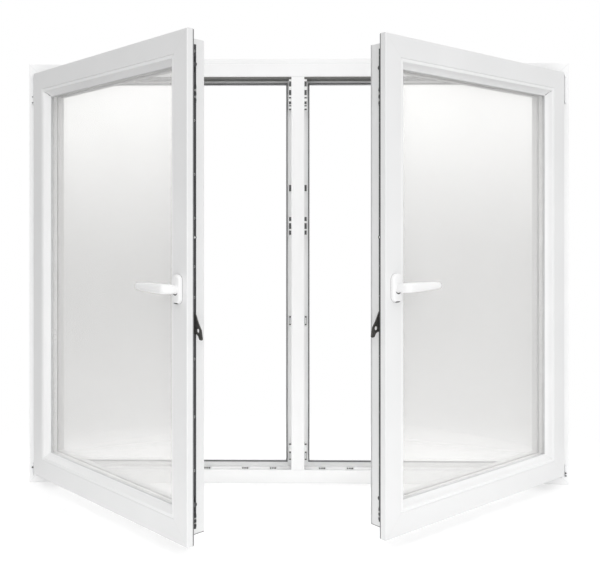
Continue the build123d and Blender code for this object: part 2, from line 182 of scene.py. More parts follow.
def metal(name, dark, light, low_roughness, high_roughness, stretch=EVEN, metallic=1.0):
    """Plated steel: mottled tone, uneven gloss and fine relief, with streaks where stretched."""
    tone, gloss, relief = METAL_NOISE
    material, tree, shader = new_material(name, light, low_roughness, metallic)
    vary_color(tree, shader, object_noise(tree, *tone, stretch), dark, light)
    shine = object_noise(tree, *gloss, stretch)
    vary_roughness(tree, shader, shine, low_roughness, high_roughness)
    add_bump(tree, shader, object_noise(tree, *relief, stretch), METAL_RELIEF)
    return material


def seal_rubber(name, dark, light):
    """Extruded sealing rubber: matt, with a fine skin."""
    tone, gloss, relief = RUBBER_NOISE
    material, tree, shader = new_material(name, light, RUBBER_ROUGHNESS)
    vary_color(tree, shader, object_noise(tree, *tone), dark, light)
    vary_roughness(tree, shader, object_noise(tree, *gloss), *RUBBER_ROUGHNESS_RANGE)
    add_bump(tree, shader, object_noise(tree, *relief), RUBBER_RELIEF)
    return material


def clear_glass():
    """Float glass with a pale veil, as under a bright sky; lamps shine through it."""
    material, tree, shader = new_material("clear_glass", GLASS_COLOR, 0.0)
    shader.inputs["Transmission Weight"].default_value = GLASS_CLEARNESS
    shader.inputs["IOR"].default_value = GLASS_IOR
    vary_color(tree, shader, object_noise(tree, GLASS_NOISE), *GLASS_TONES)
    passing = tree.nodes.new("ShaderNodeBsdfTransparent")
    passing.inputs["Color"].default_value = GLASS_SHADE
    shadow_ray = tree.nodes.new("ShaderNodeLightPath").outputs["Is Shadow Ray"]
    mixed = mix_shaders(tree, shadow_ray, shader.outputs["BSDF"], passing.outputs["BSDF"])
    tree.links.new(mixed, tree.nodes["Material Output"].inputs["Surface"])
    return material


MATERIALS = {
    # Plastics: darker and lighter tone, lowest and highest roughness, strength of the grain
    # The frame, the sashes and the beads are one white plastic in three copies: the frame's painted
    # lighter, the sashes' and the beads' painted darker, as painted light and shade
    "frame": plastic("white_frame_painted_light", (0.87, 0.872, 0.873), (0.89, 0.891, 0.892), 0.29, 0.38, 0.06),
    "profile": plastic(
        "white_profile", (0.75, 0.752, 0.753), (0.775, 0.776, 0.777), 0.29, 0.38, 0.06,
    ),
    "seam": plastic("weld_seam", (0.7, 0.702, 0.705), (0.74, 0.742, 0.745), 0.4, 0.5),
    "bead": plastic("white_bead", (0.805, 0.807, 0.808), (0.83, 0.831, 0.832), 0.29, 0.36, 0.05),
    "hinge": plastic(
        "white_hinge_cover", (0.84, 0.845, 0.85), (0.87, 0.872, 0.875), 0.3, 0.4, 0.08,
    ),
    "handle": plastic(
        "white_lacquer", (0.82, 0.82, 0.82), (0.845, 0.845, 0.845), 0.29, 0.35, 0.12,
    ),
    "spacer": plastic("pale_spacer", (0.86, 0.862, 0.863), (0.9, 0.9, 0.9), 0.35, 0.45),
    # Metals: the same tones and roughness, then the stretch of the noise and how metallic it is
    "keep": metal("pale_zinc", (0.62, 0.63, 0.63), (0.78, 0.78, 0.77), 0.35, 0.5, EVEN, 0.6),
    "plate": metal(
        "dark_zinc", (0.028, 0.028, 0.03), (0.058, 0.058, 0.061), 0.4, 0.6, PLATE_STREAKS, 0.4,
    ),
    "rod": metal(
        "grey_zinc", (0.06, 0.06, 0.063), (0.12, 0.12, 0.124), 0.35, 0.55, ROD_STREAKS, 0.6,
    ),
    "latch": metal(
        "dark_lever", (0.055, 0.053, 0.05), (0.115, 0.112, 0.106), 0.4, 0.55, EVEN, 0.5,
    ),
    "screw": metal("bright_screw", (0.26, 0.26, 0.26), (0.4, 0.4, 0.39), 0.3, 0.45),
    # Painted shade: the dark boxes in the keeps' striker openings
    "keep_recess_shade": metal(
        "keep_recess_shade", (0.05, 0.051, 0.052), (0.09, 0.091, 0.092), 0.4, 0.6, EVEN, 0.3,
    ),
    # Rubbers, and the painted shade of the head's rebate, of gaps and of hollows: the tones alone
    # Painted shade: a dark strip standing for the shade on the underside of the head's rebate
    "head_rebate_shade": seal_rubber("dark_lining", (0.14, 0.142, 0.135), (0.17, 0.172, 0.163)),
    "frame_seal": seal_rubber("frame_seal", (0.13, 0.133, 0.137), (0.18, 0.183, 0.188)),
    "sash_seal": seal_rubber("sash_seal", (0.22, 0.222, 0.225), (0.28, 0.282, 0.285)),
    # The glazing seals' grey also serves as painted shade on the sill's rebate
    "glazing_seal": seal_rubber("glazing_seal", (0.62, 0.622, 0.625), (0.7, 0.702, 0.705)),
    "lip_seal": seal_rubber("lip_seal", (0.55, 0.553, 0.557), (0.61, 0.613, 0.617)),
    "shadow": seal_rubber("shadow_gap", (0.12, 0.12, 0.121), (0.16, 0.16, 0.161)),
    # Painted shade: near-black boxes and sheets for the shade inside slots, notches, screw recesses
    # and sockets
    "hollow_shade": seal_rubber("painted_hollow_shade", (0.02, 0.02, 0.021), (0.035, 0.035, 0.036)),
    "glass": clear_glass(),
}

# The solid parts' materials, by the beginning or the ending of their names
NODE_MATERIALS = {
    "frame_": "frame",
    "head_extension": "frame",
    # The head's lining is painted shade, a dark strip where the rebate's underside lies in shade
    "head_lining": "head_rebate_shade",
    "top_rail": "profile",
    "bottom_rail": "profile",
    "hinge_stile": "profile",
    "lock_stile": "profile",
    "glazing_beads": "bead",
    "frame_hinges": "hinge",
    "sash_hinges": "hinge",
    "handle_rose": "handle",
    "handle_lever": "handle",
    "keeps": "keep",
    "faceplates": "plate",
    "drive_rod": "rod",
    "latch_lever": "latch",
    "glass_spacer": "spacer",
    "frame_gasket": "frame_seal",
    "sash_gasket": "sash_seal",
    "glazing_gaskets": "glazing_seal",
    "pane": "glass",
}


def dress_nodes():
    """Give every solid part its material, by the longest key that its name begins or ends with."""
    for name, piece in frame["nodes"].items():
        fitting = [key for key in NODE_MATERIALS if name.endswith(key) or name.startswith(key)]
        key = NODE_MATERIALS[max(fitting, key=len)]
        piece.data.materials.clear()
        piece.data.materials.append(MATERIALS[key])


# Meshes

BEVEL_STEPS = 2
# Points round a disc: large, of the usual size, small and tiny
LARGE_RING = 32
USUAL_RING = 24
SMALL_RING = 20
TINY_RING = 8
# Angle between two faces, in degrees, over which their edge is drawn sharp
CREASE = 35.0
AXIS_TURNS = {
    "x": Matrix.Rotation(math.radians(90), 4, "Y"),
    "y": Matrix.Rotation(math.radians(90), 4, "X"),
    "z": Matrix.Identity(4),
}


def mm(*values):
    """A point in metres from its coordinates in millimetres."""
    return tuple(value * MM for value in values)


def millimetres(points):
    """Points in metres from points in millimetres."""
    return [mm(*point) for point in points]


def add_box(shape, low, high, bevel=0.0):
    """A box between two corners, with its edges rounded off if a bevel is given."""
    low, high = Vector(low), Vector(high)
    middle = (low + high) / 2
    size = high - low
    matrix = Matrix.Translation(middle) @ Matrix.Diagonal((*size, 1.0))
    made = bmesh.ops.create_cube(shape, size=1.0, matrix=matrix)
    if bevel:
        edges = list({edge for vertex in made["verts"] for edge in vertex.link_edges})
        bmesh.ops.bevel(shape, geom=edges, offset=bevel, segments=BEVEL_STEPS, affect="EDGES")


def add_disc(shape, center, radius, thickness, axis, segments=USUAL_RING, top_radius=None):
    """A round disc, centred and lying across the named axis."""
    matrix = Matrix.Translation(Vector(center)) @ AXIS_TURNS[axis]
    bmesh.ops.create_cone(
        shape,
        cap_ends=True,
        segments=segments,
        radius1=radius,
        radius2=radius if top_radius is None else top_radius,
        depth=thickness,
        matrix=matrix,
    )


def add_rings(shape, rings):
    """Skin the rings of points into one closed body."""
    made = [[shape.verts.new(point) for point in ring] for ring in rings]
    for ring, following in zip(made, made[1:]):
        for step in range(len(ring)):
            after = (step + 1) % len(ring)
            shape.faces.new((ring[step], ring[after], following[after], following[step]))
    shape.faces.new(list(reversed(made[0])))
    shape.faces.new(made[-1])


def add_sheet(shape, rows):
    """An open skin through rows of equally many points."""
    made = [[shape.verts.new(point) for point in row] for row in rows]
    for row, following in zip(made, made[1:]):
        for step in range(len(row) - 1):
            shape.faces.new((row[step], row[step + 1], following[step + 1], following[step]))


def add_mitred_ring(shape, profile, low, high, gap=0.0):
    """Four bars with mitred ends round a rectangle in the (u, z) plane.

    The profile is a closed outline of (inset, out) points; low and high are the rectangle's
    corners, and each bar's ends stand back by the gap.
    """
    corners = ((low[0], low[1]), (high[0], low[1]), (high[0], high[1]), (low[0], high[1]))
    inwards = ((1, 1), (-1, 1), (-1, -1), (1, -1))
    for side in range(4):
        after = (side + 1) % 4
        along = (Vector(corners[after]) - Vector(corners[side])).normalized() * gap
        rings = []
        for corner, sign in ((side, 1), (after, -1)):
            ring = []
            for inset, out in profile:
                u = corners[corner][0] + inwards[corner][0] * inset + sign * along.x
                z = corners[corner][1] + inwards[corner][1] * inset + sign * along.y
                ring.append((u, z, out))
            rings.append(ring)
        add_rings(shape, rings)


def finish_mesh(name, shape, material, body="window", matrix=None, crease=CREASE):
    """Turn a bmesh into a piece that rides on a body of the window."""
    bmesh.ops.recalc_face_normals(shape, faces=shape.faces)
    if matrix is not None:
        bmesh.ops.transform(shape, matrix=matrix, verts=shape.verts)
        if matrix.to_3x3().determinant() < 0:
            bmesh.ops.reverse_faces(shape, faces=shape.faces)
    mesh = bpy.data.meshes.new(name)
    shape.to_mesh(mesh)
    shape.free()
    for polygon in mesh.polygons:
        polygon.use_smooth = True
    mesh.set_sharp_from_angle(angle=math.radians(crease))
    mesh.materials.append(MATERIALS[material])
    piece = bpy.data.objects.new(name, mesh)
    bpy.context.scene.collection.objects.link(piece)
    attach(piece, body)
    return piece


def superellipse(half_wide, half_thick, count, power=2.6):
    """Points of a rounded section, counted round."""
    points = []
    for step in range(count):
        angle = 2 * math.pi * step / count
        c, s = math.cos(angle), math.sin(angle)
        points.append((
            half_wide * math.copysign(abs(c) ** (2 / power), c),
            half_thick * math.copysign(abs(s) ** (2 / power), s),
        ))
    return points


def stadium(half_wide, half_high, radius, count):
    """Points of a rectangle with rounded corners, counted round."""
    points = []
    quarter = count // 4
    centres = ((1, 1), (-1, 1), (-1, -1), (1, -1))
    for corner, (sx, sz) in enumerate(centres):
        for step in range(quarter):
            angle = math.pi / 2 * (corner + step / (quarter - 1))
            points.append((
                sx * (half_wide - radius) + radius * math.cos(angle),
                sz * (half_high - radius) + radius * math.sin(angle),
            ))
    return points


# The open sashes

# Sizes in a sash's own axes: u from the handle's place, z from the sill's underside
SASH_WIDTH = 850.5 * MM
SASH_LOW = 36 * MM
SASH_HIGH = 1364 * MM
SASH_DEPTH = 71 * MM
SASH_LIP = 20 * MM
LIP_DEPTH = 20 * MM
LOCK_EDGE = 37 * MM
HINGE_EDGE = LOCK_EDGE - SASH_WIDTH
LOCK_FLANK = LOCK_EDGE - SASH_LIP
GROOVE_OUT = -35 * MM


class Sash:
    """One open sash: its handle's place on its face and its directions across, up and out."""

    def __init__(self, side):
        joint = next(j for j in frame["joints"] if j["name"] == f"{side}_handle_turn")
        self.side = side
        self.handle_z = joint["pos_m"][2]
        self.origin = Vector((*joint["pos_m"][:2], 0.0))
        self.out = Vector(joint["axis"]).normalized()
        turn = 1 if side == "left" else -1
        self.across = Vector((-turn * self.out.y, turn * self.out.x, 0))

    def matrix(self, base=0.0):
        """Turns (u, z, out), with u from the handle and z over base, into the window's axes."""
        columns = Matrix((self.across, Vector((0, 0, 1)), self.out)).transposed().to_4x4()
        return Matrix.Translation(self.origin + Vector((0, 0, base))) @ columns

    def finish(self, name, shape, material, body="window", base=0.0, crease=CREASE):
        """Turn a bmesh in this sash's axes into a piece named after its side."""
        return finish_mesh(f"{self.side}_{name}", shape, material, body, self.matrix(base), crease)


# Handles, with heights from the handle's own

LEVER_RING = 32
LEVER_CREASE = 80.0
LEVER_SMOOTHING = 2
LEVER_STATIONS = (
    # u, rise, out, turn of the section, half height, half thickness, in millimetres and degrees
    (0, 0, 3, 0, 8.9, 8.9),
    (0, 0, 12.4, 0, 9.0, 9.0),
    (0, 0.3, 15, 0, 11.0, 9.2),
    (0, 0.8, 22, 0, 12.0, 9.4),
    (-0.5, 1.4, 31, 8, 12.4, 9.2),
    (-2.5, 1.9, 38.5, 32, 12.6, 8.6),
    (-7, 2.3, 43.8, 60, 12.7, 7.2),
    (-15, 2.6, 46, 80, 12.6, 6.2),
    (-30, 2.9, 46.3, 89, 12.3, 6.0),
    (-60, 3.3, 46.4, 90, 11.4, 5.8),
    (-90, 3.6, 46.2, 91, 10.2, 5.4),
    (-114, 3.8, 45.9, 92, 8.9, 5.1),
    (-122.5, 3.9, 45.7, 92, 8.0, 4.8),
    (-126.0, 3.9, 45.6, 92, 6.4, 4.0),
    (-127.3, 3.9, 45.6, 92, 3.4, 2.2),
)
ROSE_RING = 64
ROSE_CREASE = 40.0
ROSE_HALF = (18, 38)
# Outlines of the rose's solid: inset and height off the face
ROSE_STEPS = ((0, 0), (0, 6.2), (0.35, 8.0), (1.2, 9.5), (2.6, 10.6), (4.6, 11.0), (8.0, 11.1))
# Radius of the corners, how fast an inset shrinks it, and the least flat that it leaves
ROSE_CORNER = 16.5
ROSE_CORNER_SHRINK = 0.8
ROSE_LEAST_FLAT = 0.5
# Collar round the neck: height of its middle, lower radius, thickness, upper radius, points
COLLAR = (11.9, 12.8, 1.8, 12.0, 48)
# Painted shadow round the rose's foot, a dark ring just outside its outline: inset, and the heights
# of its two faces
ROSE_SHADOW_INSET = -0.1
ROSE_SHADOW_OUTS = (0.05, 0.7)
MARK_STEPS = 8
# Rows of the dark sheet of painted shadow along the rose's lower rim, drawn as a notch: inset,
# height off the face, half width
NOTCH_SHADOW_ROWS = (
    (-0.12, 5.2, 8.2), (0.22, 8.15, 8.6), (1.05, 9.7, 8.4), (2.4, 10.75, 6.4), (3.3, 11.02, 3.2),
)
NOTCH_SHADOW_LIFT = 0.06
# Crescent of painted shadow under the neck, drawn as a groove: inner radius, thickness in the
# middle, half angle, height
NECK_SHADOW = (12.4, 3.4, 58, 11.18)


def handle_lever(sash):
    """The lever: a round neck that bends into a flat, tapering grip with a rounded end."""
    shape = bmesh.new()
    rings = []
    for u, rise, out, turn, half_high, half_thick in LEVER_STATIONS:
        thick_u, thick_out = math.cos(math.radians(turn)), math.sin(math.radians(turn))
        rings.append([
            mm(u + thick * thick_u, high + rise, out + thick * thick_out)
            for high, thick in superellipse(half_high, half_thick, LEVER_RING)
        ])
    add_rings(shape, rings)
    body = f"{sash.side}_handle"
    piece = sash.finish("smooth_lever", shape, "handle", body, sash.handle_z, LEVER_CREASE)
    smooth = piece.modifiers.new("smooth", "SUBSURF")
    smooth.levels = smooth.render_levels = LEVER_SMOOTHING
    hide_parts(f"{sash.side}_handle_lever")


def rose_radius(inset):
    """Radius of the rose's corners in an outline that is drawn in by the inset."""
    shrunk = ROSE_CORNER - inset * ROSE_CORNER_SHRINK
    return min(shrunk, ROSE_HALF[0] - inset - ROSE_LEAST_FLAT)


def rose_outline(inset, out):
    """The rose's outline, drawn in by the inset and at a height off the sash's face."""
    half_wide, half_high = ROSE_HALF[0] - inset, ROSE_HALF[1] - inset
    points = stadium(half_wide, half_high, rose_radius(inset), ROSE_RING)
    return [mm(u, z, out) for u, z in points]


def handle_rose(sash):
    """The rose: a plate with a domed front, a collar round the neck and a dark ring of painted
    shadow round its foot.
    """
    shape = bmesh.new()
    add_rings(shape, [rose_outline(inset, out) for inset, out in ROSE_STEPS])
    height, lower, thickness, upper, points = COLLAR
    add_disc(shape, mm(0, 0, height), lower * MM, thickness * MM, "z", points, upper * MM)
    piece = sash.finish("smooth_rose", shape, "handle", "window", sash.handle_z, ROSE_CREASE)
    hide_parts(f"{sash.side}_handle_rose")
    # Painted shadow: a dark ring round the rose's foot
    foot_shadow = bmesh.new()
    add_rings(foot_shadow, [rose_outline(ROSE_SHADOW_INSET, out) for out in ROSE_SHADOW_OUTS])
    sash.finish("rose_foot_shadow", foot_shadow, "shadow", base=sash.handle_z)


def rose_painted_shadows(sash):
    """Painted shadows: a dark sheet on the rose's lower rim and a dark crescent under the lever's
    neck.
    """
    shape = bmesh.new()
    shares = [step / MARK_STEPS for step in range(-MARK_STEPS, MARK_STEPS + 1)]
    rows = []
    for inset, out, half in NOTCH_SHADOW_ROWS:
        radius = rose_radius(inset)
        straight = ROSE_HALF[0] - inset - radius
        row = []
        for share in shares:
            u = half * share
            drop = math.sqrt(radius ** 2 - max(0.0, abs(u) - straight) ** 2)
            row.append(mm(u, -(ROSE_HALF[1] - inset - radius + drop), out + NOTCH_SHADOW_LIFT))
        rows.append(row)
    add_sheet(shape, rows)
    inner, thickness, half_angle, height = NECK_SHADOW
    rows = [[], []]
    for share in shares:
        angle = math.radians(-90 + half_angle * share)
        reach = inner + thickness * (1 - share ** 2)
        for row, radius in zip(rows, (inner, reach)):
            row.append(mm(radius * math.cos(angle), radius * math.sin(angle), height))
    add_sheet(shape, rows)
    sash.finish("rose_painted_shadows", shape, "hollow_shade", base=sash.handle_z)


# Beads, seams and seals of the sashes

BEAD_CREASE = 30.0
BEAD_JOINT = 0.15
BEAD_PROFILE = (
    # inset from the sash's edge and height over its face
    (60.0, -1.5), (60.5, -1.0), (67.4, -1.0), (68.2, -1.3), (69.0, -2.2), (70.6, -5.6),
    (73.0, -9.6), (76.0, -13.4), (79.4, -16.6), (82.2, -18.4), (83.6, -19.2), (84.0, -20.2),
    (84.0, -22.0), (60.0, -22.0),
)
# The seal's lip in front of the glass and the seal's edge behind it, in the same measures
LIP_PROFILES = (
    ((83.2, -19.6), (84.6, -19.8), (85.3, -21.4), (85.0, -22.6), (84.0, -22.6)),
    ((84.0, -51.8), (85.2, -51.4), (85.6, -52.4), (85.0, -53.2), (84.0, -53.2)),
)
# Painted shade in the open mitre at the upper hinge corner, a dark sheet: inset, height off the
# face, half width
MITRE_SHADOW = (
    (69.5, -3.6, 0.15), (73.0, -9.4, 0.7), (76.0, -13.2, 1.1), (79.4, -16.4, 1.5),
    (82.4, -18.2, 1.9),
)
MITRE_SHADOW_LIFT = 0.25
SEAM_HALF = 0.35
SEAM_RISE = 0.12
# Weld lines on the room's side and outside: nearer and farther inset, the face and where it looks
SASH_SEAMS = ((2.6, 59.6, 0, 1), (22.5, 84.5, -SASH_DEPTH, -1))
# Dark line of painted shadow round the flank's lower end, in the crease there: rise, height, and
# how far it stays off the faces
CORNER_SHADOW_LINE = (0.4, 1.6)
CORNER_SHADOW_LINE_ENDS = (1, 3)
# Dark line behind the lip's outer edge, partly the seal's edge and partly painted shadow in the gap
# there: how far it stands out and back, and off the ends
LIP_SEAL_SHADOW_RISE = 0.15
LIP_SEAL_SHADOW_WIDTH = 1.8
LIP_SEAL_SHADOW_END = 1
# Seal's edge along the right flank's back: rises, distances from the back, and its bevel
BACK_SEAL_RISES = (-1, 3.4)
BACK_SEAL_OUTS = (0.1, 1.6)
BACK_SEAL_BEVEL = 0.4
# Vent holes of the spacer, dark discs of painted shade: distance apart, inset, depth behind the
# face, radius and thickness
VENT_PITCH = 16 * MM
VENT_INSET = 83 * MM
VENT_OUT = -37 * MM
VENT_SIZE = mm(0.9, 0.3)


def glazing_beads(sash):
    """Beads with a softly hollowed slope, mitred, and the seal lips that press on the glass."""
    low, high = (HINGE_EDGE, SASH_LOW), (LOCK_EDGE, SASH_HIGH)
    shape = bmesh.new()
    add_mitred_ring(shape, millimetres(BEAD_PROFILE), low, high, BEAD_JOINT * MM)
    piece = sash.finish("moulded_beads", shape, "bead", crease=BEAD_CREASE)
    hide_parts(f"{sash.side}_glazing_beads")
    shape = bmesh.new()
    for profile in LIP_PROFILES:
        add_mitred_ring(shape, millimetres(profile), low, high)
    sash.finish("bead_seal_lips", shape, "lip_seal")
    # A dark sheet of painted shade in the upper hinge corner's mitre
    shape = bmesh.new()
    rows = [[], []]
    for inset, out, half in MITRE_SHADOW:
        u, z = HINGE_EDGE + inset * MM, SASH_HIGH - inset * MM
        for row, turn in zip(rows, (-1, 1)):
            row.append((u + turn * half * MM, z + turn * half * MM, (out + MITRE_SHADOW_LIFT) * MM))
    add_sheet(shape, rows)
    sash.finish("bead_mitre_shadow", shape, "hollow_shade")


def back_seal_edge(sash):
    """The seal's edge along the back of the lock stile's flank."""
    shape = bmesh.new()
    (near, far), (back, front) = mm(*BACK_SEAL_RISES), mm(*BACK_SEAL_OUTS)
    add_box(
        shape,
        (LOCK_FLANK + near, SASH_LOW + SASH_LIP, -SASH_DEPTH + back),
        (LOCK_FLANK + far, SASH_HIGH - SASH_LIP, -SASH_DEPTH + front),
        BACK_SEAL_BEVEL * MM,
    )
    sash.finish("back_seal_edge", shape, "lip_seal")


def corner_shadow_lines(sash):
    """Painted shadow: the dark line round the flank's lower end, and the one behind the edge of the
    stile's lip, where the seal's edge also lies.
    """
    shape = bmesh.new()
    (rise, thick), (back, front) = mm(*CORNER_SHADOW_LINE), mm(*CORNER_SHADOW_LINE_ENDS)
    low, end = SASH_LOW + SASH_LIP, LIP_SEAL_SHADOW_END * MM
    add_box(
        shape,
        (LOCK_FLANK, low, -SASH_DEPTH + back),
        (LOCK_FLANK + rise, low + thick, -LIP_DEPTH - front),
    )
    add_box(
        shape,
        (LOCK_EDGE - end, SASH_LOW + end, -LIP_DEPTH),
        (LOCK_EDGE + LIP_SEAL_SHADOW_RISE * MM, SASH_HIGH - end, -LIP_DEPTH + LIP_SEAL_SHADOW_WIDTH * MM),
    )
    sash.finish("corner_seal_shadow_line", shape, "shadow")


def add_diagonal(shape, start, end, out, side):
    """A hairline strip between two points of a face, standing a hair off it."""
    start, end = Vector(start), Vector(end)
    along = (end - start).normalized()
    beside = Vector((-along.y, along.x)) * SEAM_HALF * MM
    outs = sorted((out, out + side * SEAM_RISE * MM))
    corners = (start - beside, start + beside, end + beside, end - beside)
    add_rings(shape, [[(p.x, p.y, level) for p in corners] for level in outs])


def sash_seams(sash):
    """The cleaned weld lines at the sash's four corners, on both faces."""
    shape = bmesh.new()
    for u, turn_u in ((HINGE_EDGE, 1), (LOCK_EDGE, -1)):
        for z, turn_z in ((SASH_LOW, 1), (SASH_HIGH, -1)):
            for near, far, out, side in SASH_SEAMS:
                start = (u + turn_u * near * MM, z + turn_z * near * MM)
                end = (u + turn_u * far * MM, z + turn_z * far * MM)
                add_diagonal(shape, start, end, out, side)
    sash.finish("sash_weld_seams", shape, "seam")


def spacer_holes(sash):
    """Vent perforations along the spacer's inner face, drawn as dark discs of painted shade."""
    shape = bmesh.new()
    count = int((SASH_HIGH - SASH_LOW - 2 * VENT_INSET) / VENT_PITCH)
    for step in range(1, count):
        z = SASH_LOW + VENT_INSET + step * VENT_PITCH
        for u in (HINGE_EDGE + VENT_INSET, LOCK_EDGE - VENT_INSET):
            add_disc(shape, (u, z, VENT_OUT), *VENT_SIZE, "x", TINY_RING)
    count = int((LOCK_EDGE - HINGE_EDGE - 2 * VENT_INSET) / VENT_PITCH)
    for step in range(1, count):
        u = HINGE_EDGE + VENT_INSET + step * VENT_PITCH
        for z in (SASH_LOW + VENT_INSET, SASH_HIGH - VENT_INSET):
            add_disc(shape, (u, z, VENT_OUT), *VENT_SIZE, "y", TINY_RING)
    sash.finish("spacer_vents", shape, "shadow")


# Locking hardware on the flank of the lock stiles
# Its places are rises off the flank, heights, and distances out from the groove's middle

PLATE_SCREWS = (222, 362, 512, 672, 752, 878, 992, 1132, 1312)
PLATE_SCREW_OUT = -3
PLATE_SCREW_SIZE = (3.4, 0.7)
# Cross recess, a dark box of painted shade standing on the screw: rises of its two faces, and the
# half height and half width of each arm
CROSS_RISES = (0.2, 0.42)
CROSS_ARMS = ((2.0, 0.5), (0.5, 2.0))
# Corner drive covers: low and high end, sides, thickness and bevel
CORNER_DRIVES = ((74, 110), (1176, 1227))
COVER_OUTS = (-8, 8)
COVER_RISE = 2.2
COVER_BEVEL = 0.5
# Ribs and screws stand at these shares of a cover's length
RIB_SHARES = (0.16, 0.5, 0.84)
RIB_HALF = 4
RIB_OUTS = (-7, 1)
RIB_RISE = 4.6
RIB_BEVEL = 0.8
COVER_SCREW_SHARES = (0.33, 0.67)
COVER_SCREW_OUT = -4
COVER_SCREW_SIZE = (3.2, 1.6)
# Dark slits of painted shade below and above each screw: height from it, width, sides and rises
SLIT_HEIGHTS = (-5.2, 4.4)
SLIT_WIDTH = 1.2
SLIT_OUTS = (-7, 6)
SLIT_RISES = (2.0, 2.35)
# Middle cam: its height and travel, then rise, radius, thickness and points round of each part
MID_CAM_Z = 828
MID_CAM_TRAVEL = 18
MID_CAM_DISCS = ((0.4, 3.4, 0.5, USUAL_RING), (3.4, 5.6, 5.6, LARGE_RING))
MID_CAM_PIN = (6.3, 2.7, 0.5, USUAL_RING)
# The cam's slot in the faceplate, a dark box of painted shade: half width, and its rises
MID_SLOT_HALF = 4.5
MID_SLOT_RISES = (-0.3, 0.1)
# Latch pivot, a rivet between two cheeks, with heights from the handle's own
CHEEK_OUTS = (-3.4, 3.4)
CHEEK_HALF = 1.2
CHEEK_RISES = (-0.2, 7)
CHEEK_HEIGHTS = (-84, -64)
CHEEK_BEVEL = 0.6
RIVET_PLACE = (3.6, -74, 0)
RIVET_SIZE = (2.2, 10.4)


def flank_point(rise, height, out):
    """A point in the sash's axes from its place on the flank in millimetres."""
    return LOCK_FLANK + rise * MM, height * MM, GROOVE_OUT + out * MM


def flank_box(shape, rises, heights, outs, bevel=0.0):
    """A box on the flank, between two rises, two heights and two distances out."""
    low, high = zip(rises, heights, outs)
    add_box(shape, flank_point(*low), flank_point(*high), bevel * MM)


def plate_screws(sash):
    """Countersunk screws down the faceplate, each with a cross recess in painted shade."""
    heads = bmesh.new()
    recesses = bmesh.new()
    for z in PLATE_SCREWS:
        place = flank_point(0, z, PLATE_SCREW_OUT)
        add_disc(heads, place, *mm(*PLATE_SCREW_SIZE), "x", SMALL_RING)
        for half_z, half_out in CROSS_ARMS:
            heights = (z - half_z, z + half_z)
            outs = (PLATE_SCREW_OUT - half_out, PLATE_SCREW_OUT + half_out)
            flank_box(recesses, CROSS_RISES, heights, outs)
    sash.finish("faceplate_screws", heads, "screw")
    sash.finish("faceplate_screw_recesses", recesses, "hollow_shade")


def corner_drives(sash):
    """The covers of the corner drives, with ribs, screws and slits of painted shade beside the
    screws.
    """
    covers = bmesh.new()
    slits = bmesh.new()
    screws = bmesh.new()
    for low, high in CORNER_DRIVES:
        flank_box(covers, (0, COVER_RISE), (low, high), COVER_OUTS, COVER_BEVEL)
        for share in RIB_SHARES:
            z = low + share * (high - low)
            flank_box(covers, (0, RIB_RISE), (z - RIB_HALF, z + RIB_HALF), RIB_OUTS, RIB_BEVEL)
        for share in COVER_SCREW_SHARES:
            z = low + share * (high - low)
            place = flank_point(COVER_RISE, z, COVER_SCREW_OUT)
            add_disc(screws, place, *mm(*COVER_SCREW_SIZE), "x", SMALL_RING)
            for offset in SLIT_HEIGHTS:
                heights = (z + offset, z + offset + SLIT_WIDTH)
                flank_box(slits, SLIT_RISES, heights, SLIT_OUTS)
    sash.finish("corner_drives", covers, "plate")
    sash.finish("corner_drive_slit_shade", slits, "hollow_shade")
    sash.finish("corner_drive_screws", screws, "screw")


def middle_cam(sash):
    """The round cam above the handle, which moves with the rod, and its slot in the faceplate, a
    dark box of painted shade.
    """
    body = f"{sash.side}_drive"
    pieces = (("middle_cam", "plate", MID_CAM_DISCS), ("middle_cam_pin", "keep", (MID_CAM_PIN,)))
    for name, material, discs in pieces:
        shape = bmesh.new()
        for rise, radius, thickness, points in discs:
            place = flank_point(rise, MID_CAM_Z, 0)
            add_disc(shape, place, radius * MM, thickness * MM, "x", points)
        sash.finish(name, shape, material, body)
    slot = bmesh.new()
    reach = MID_CAM_TRAVEL + MID_SLOT_HALF
    heights = (MID_CAM_Z - reach, MID_CAM_Z + reach)
    flank_box(slot, MID_SLOT_RISES, heights, (-MID_SLOT_HALF, MID_SLOT_HALF))
    sash.finish("middle_cam_slot", slot, "hollow_shade")


def latch_pivot(sash):
    """The lift latch's pivot: two cheeks on the faceplate and the rivet through them."""
    shape = bmesh.new()
    for out in CHEEK_OUTS:
        outs = (out - CHEEK_HALF, out + CHEEK_HALF)
        flank_box(shape, CHEEK_RISES, CHEEK_HEIGHTS, outs, CHEEK_BEVEL)
    add_disc(shape, flank_point(*RIVET_PLACE), *mm(*RIVET_SIZE), "z", SMALL_RING)
    sash.finish("latch_pivot", shape, "latch", base=sash.handle_z)


# Hinges, in millimetres from the window's middle and the sill's underside

HINGE_X = 875
HINGE_Y = -44
# Discs on the barrels, the end caps and then the parting rings: heights, radius, thickness
HINGE_DISCS = (((1360, 1260, 68, 26), 6.5, 2.4), ((1318, 45), 6.3, 1.6))
# Covers beside the barrels: low and high end, inner and outer side, front, back and bevel
HINGE_COVERS = ((1264, 1358), (28, 66))
HINGE_COVER_SIDES = (HINGE_X + 6.8, HINGE_X + 14.8)
HINGE_COVER_FRONT = HINGE_Y - 3
HINGE_COVER_BACK = -34.9
HINGE_COVER_BEVEL = 1.6
# Round bosses on the covers: distance from the ends, middle, radius and thickness
BOSS_END = 5
BOSS_Y = HINGE_Y - 3.4
BOSS_SIZE = (4.6, 2.4)
# Set screws on each side, dark discs of painted shade in their sockets: height and radius; then
# their middle and thickness
HINGE_SCREWS = {
    "left": ((1288.7, 1.5), (1269, 2.2), (53.5, 2.7)),
    "right": ((41.5, 2.7), (33, 2.7)),
}
HINGE_SCREW_X = HINGE_COVER_SIDES[0] + 2.8
HINGE_SCREW_Y = HINGE_Y - 4.3
HINGE_SCREW_THICKNESS = 1.6


